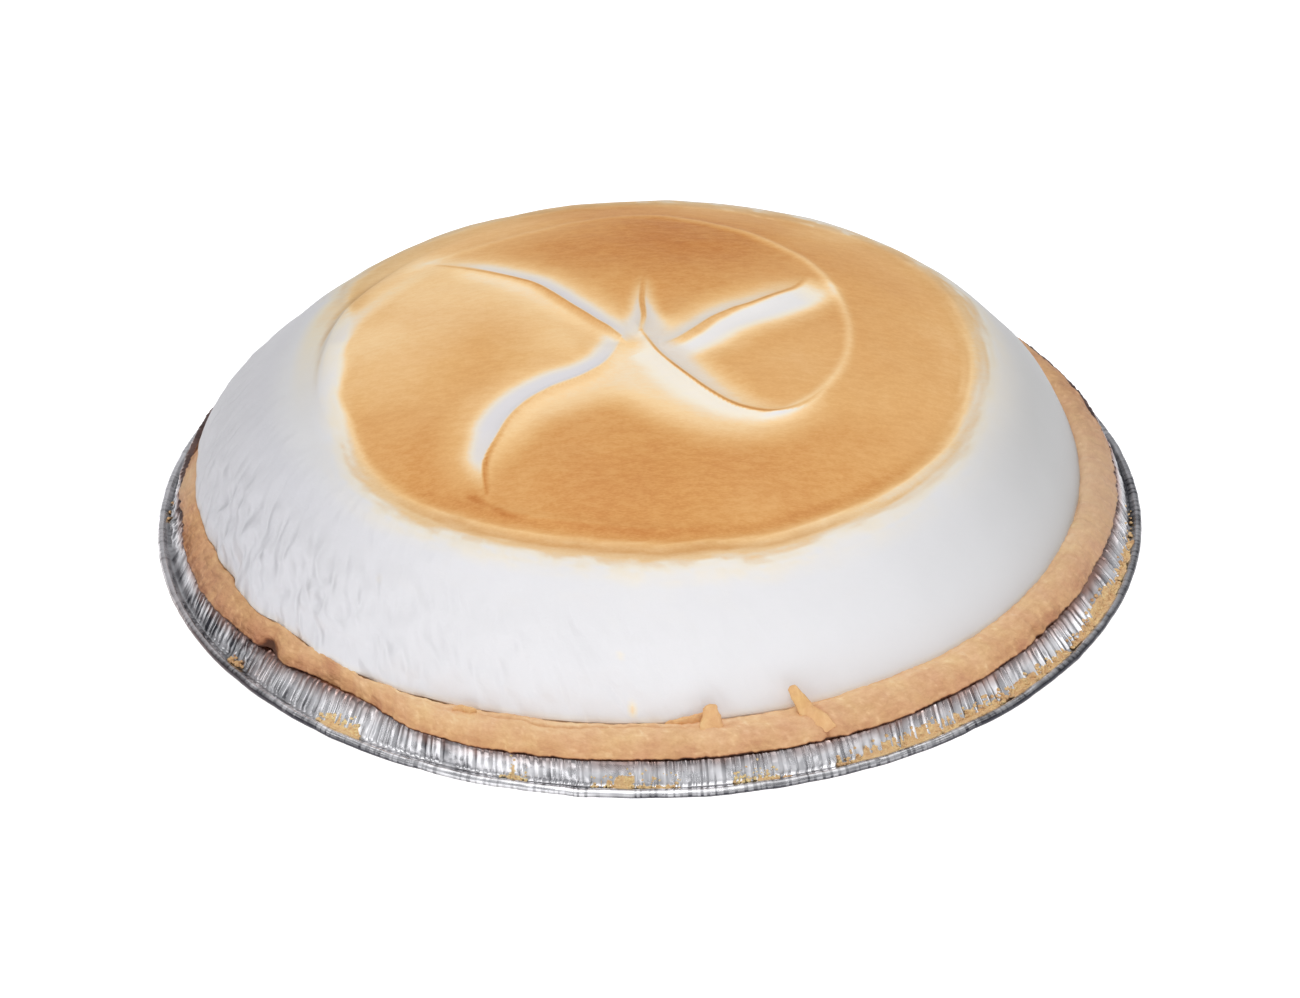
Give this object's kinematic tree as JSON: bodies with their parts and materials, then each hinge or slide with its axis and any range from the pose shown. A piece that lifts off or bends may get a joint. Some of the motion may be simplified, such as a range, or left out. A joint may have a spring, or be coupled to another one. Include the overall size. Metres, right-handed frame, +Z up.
{
  "type": "chocolate meringue pie",
  "caption": "Round meringue pie in a shallow foil tin: a flat-topped white dome with a browned top and a pinwheel of drawn ridges, inside a raised pastry lip.",
  "frame": {"origin": "middle of the tin's flat underside", "axes": "+Z up through the top of the dome, -Y towards the front, +X to the right"},
  "size_m": [0.2438, 0.2438, 0.0749],
  "materials": {
    "foil": "thin bright foil with fine crimps round the flange",
    "pastry": "matt baked shortcrust, fine crumb, with small cracks",
    "meringue": "soft white foam, toasted golden brown on top"
  },
  "bodies": {
    "root": {"foil_tin": "foil", "pastry_crust": "pastry", "meringue": "meringue"}
  },
  "joints": []
}
